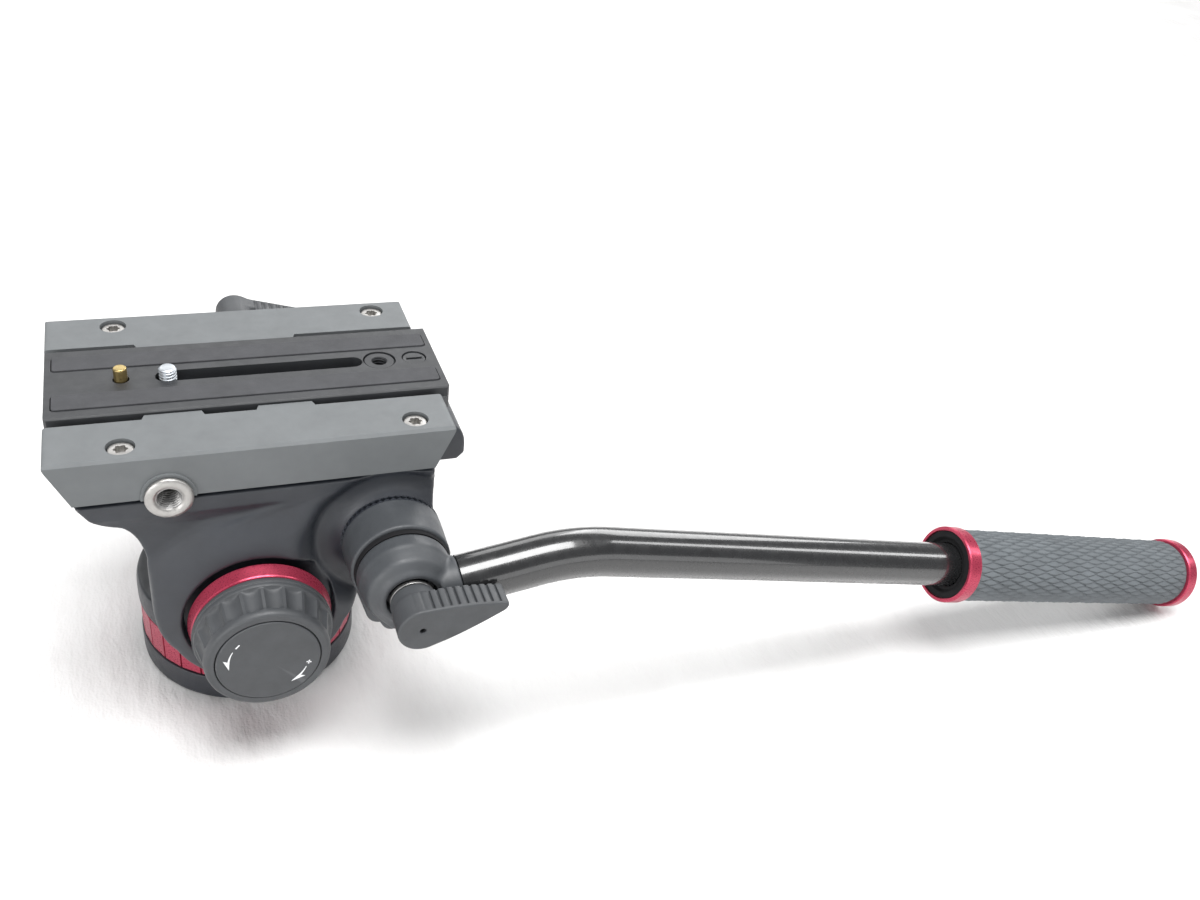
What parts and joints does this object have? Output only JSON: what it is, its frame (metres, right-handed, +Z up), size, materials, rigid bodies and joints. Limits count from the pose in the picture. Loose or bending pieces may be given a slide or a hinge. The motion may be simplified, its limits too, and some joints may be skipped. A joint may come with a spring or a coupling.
{
  "type": "fluid video head",
  "caption": "Fluid video head with a panning base, a tilting cradle, a sliding camera plate, drag controls and a bent pan bar with a rubber grip.",
  "frame": {"origin": "centre of the foot's underside, on the pan axis, where the tripod's stud enters", "axes": "+X to the operator along the camera plate, -X to the lens, -Y the side of the tilt drag knob and pan bar, +Z up"},
  "size_m": [0.5158, 0.1703, 0.136],
  "materials": {
    "cast_black": "fine textured black paint on aluminium castings",
    "rail_grey": "satin mid grey paint",
    "bright_steel": "bright turned stainless steel",
    "zinc": "zinc plated steel",
    "anodised_red": "crimson anodised aluminium",
    "knob_grey": "matt dark grey glass filled plastic",
    "black_plastic": "matt black plastic",
    "red_plastic": "red plastic",
    "plate_black": "black anodised aluminium, lightly worn",
    "pad_rubber": "ribbed black rubber",
    "brass": "turned brass",
    "tube_black": "gloss black enamel on aluminium tube",
    "grip_rubber": "slate grey soft rubber with a raised diamond pattern",
    "vial": "green spirit level vial"
  },
  "bodies": {
    "base": {"base_foot": "cast_black", "tripod_thread_bush": "bright_steel", "pan_spindle": "bright_steel", "foot_screw_1": "bright_steel", "foot_screw_2": "bright_steel", "foot_screw_3": "bright_steel", "spindle_nut": "bright_steel"},
    "pan_drag": {"pan_drag_ring": "anodised_red"},
    "pan_body": {"pan_housing": "cast_black", "pan_bearing": "bright_steel", "pan_drag_cartridge": "black_plastic", "tilt_drag_cartridge_near": "black_plastic", "tilt_drag_cartridge_far": "black_plastic", "counterbalance_spring": "bright_steel"},
    "pan_lock": {"pan_lock_lever": "knob_grey", "pan_lock_screw": "bright_steel"},
    "tilt_head": {"tilt_cradle": "cast_black", "tilt_axle": "bright_steel", "rail_near": "rail_grey", "rail_far": "rail_grey", "rail_screw_1": "bright_steel", "rail_screw_2": "bright_steel", "rail_screw_3": "bright_steel", "rail_screw_4": "bright_steel", "accessory_insert_near": "bright_steel", "accessory_insert_far": "bright_steel", "level_housing": "cast_black", "level_vial": "vial"},
    "tilt_drag": {"tilt_drag_knob": "knob_grey", "tilt_drag_cap": "knob_grey", "tilt_drag_ring": "anodised_red"},
    "tilt_lock": {"tilt_lock_lever": "knob_grey", "tilt_lock_screw": "bright_steel"},
    "plate_lock": {"plate_lock_lever": "knob_grey", "plate_lock_screw": "bright_steel", "plate_lock_pad": "brass"},
    "plate_release": {"plate_release_button": "red_plastic"},
    "sliding_plate": {"camera_plate": "plate_black", "plate_pad_near": "pad_rubber", "plate_pad_far": "pad_rubber", "reducer_bush": "plate_black", "plate_plug": "plate_black"},
    "screw_slider": {"screw_retaining_ring": "black_plastic"},
    "camera_screw": {"camera_screw": "zinc"},
    "locating_pin": {"locating_pin": "brass"},
    "pan_bar": {"bar_rosette": "cast_black", "bar_spacer": "black_plastic", "bar_socket": "cast_black", "pan_bar_tube": "tube_black", "clamp_washer": "bright_steel", "grip_core": "black_plastic", "grip_sleeve": "grip_rubber", "grip_ring_front": "anodised_red", "grip_ring_rear": "anodised_red", "grip_collar": "black_plastic", "grip_end_cap": "black_plastic"},
    "bar_clamp": {"clamp_lever": "knob_grey", "clamp_bolt": "bright_steel"}
  },
  "joints": [
    {"name": "pan", "type": "hinge", "parent": "base", "child": "pan_body", "pos_m": [0, 0, 0.0203], "axis": [0, 0, 1], "continuous": true},
    {"name": "pan_drag_turn", "type": "hinge", "parent": "base", "child": "pan_drag", "pos_m": [0, 0, 0.0123], "axis": [0, 0, 1], "range_deg": [-90, 90]},
    {"name": "pan_lock_turn", "type": "hinge", "parent": "pan_body", "child": "pan_lock", "pos_m": [0.0438, 0, 0.0303], "axis": [1, 0, 0], "range_deg": [-40, 0]},
    {"name": "tilt", "type": "hinge", "parent": "pan_body", "child": "tilt_head", "pos_m": [0, 0, 0.0551], "axis": [0, 1, 0], "range_deg": [-90, 70]},
    {"name": "tilt_drag_turn", "type": "hinge", "parent": "tilt_head", "child": "tilt_drag", "pos_m": [0, -0.0473, 0.0551], "axis": [0, -1, 0], "range_deg": [-120, 120]},
    {"name": "tilt_lock_turn", "type": "hinge", "parent": "tilt_head", "child": "tilt_lock", "pos_m": [0, 0.0533, 0.0551], "axis": [0, 1, 0], "range_deg": [-50, 0]},
    {"name": "plate_lock_turn", "type": "hinge", "parent": "tilt_head", "child": "plate_lock", "pos_m": [0.006, 0.05, 0.121], "axis": [0, 1, 0], "range_deg": [-60, 20]},
    {"name": "release_press", "type": "slide", "parent": "tilt_head", "child": "plate_release", "axis": [0, -1, 0], "range_m": [0, 0.003], "stiffness_N_per_m": 400},
    {"name": "plate_slide", "type": "slide", "parent": "tilt_head", "child": "sliding_plate", "axis": [1, 0, 0], "range_m": [-0.045, 0.045]},
    {"name": "screw_slide", "type": "slide", "parent": "sliding_plate", "child": "screw_slider", "axis": [1, 0, 0], "range_m": [0, 0.062]},
    {"name": "screw_turn", "type": "hinge", "parent": "screw_slider", "child": "camera_screw", "pos_m": [-0.0233, 0, 0.123], "axis": [0, 0, 1], "continuous": true},
    {"name": "pin_press", "type": "slide", "parent": "sliding_plate", "child": "locating_pin", "axis": [0, 0, -1], "range_m": [0, 0.004], "stiffness_N_per_m": 300},
    {"name": "bar_angle", "type": "hinge", "parent": "tilt_head", "child": "pan_bar", "pos_m": [0.0499, -0.05, 0.0825], "axis": [0, 1, 0], "range_deg": [-100, 40]},
    {"name": "clamp_turn", "type": "hinge", "parent": "pan_bar", "child": "bar_clamp", "pos_m": [0.0499, -0.09, 0.0825], "axis": [0, 1, 0], "range_deg": [-90, 45]}
  ]
}
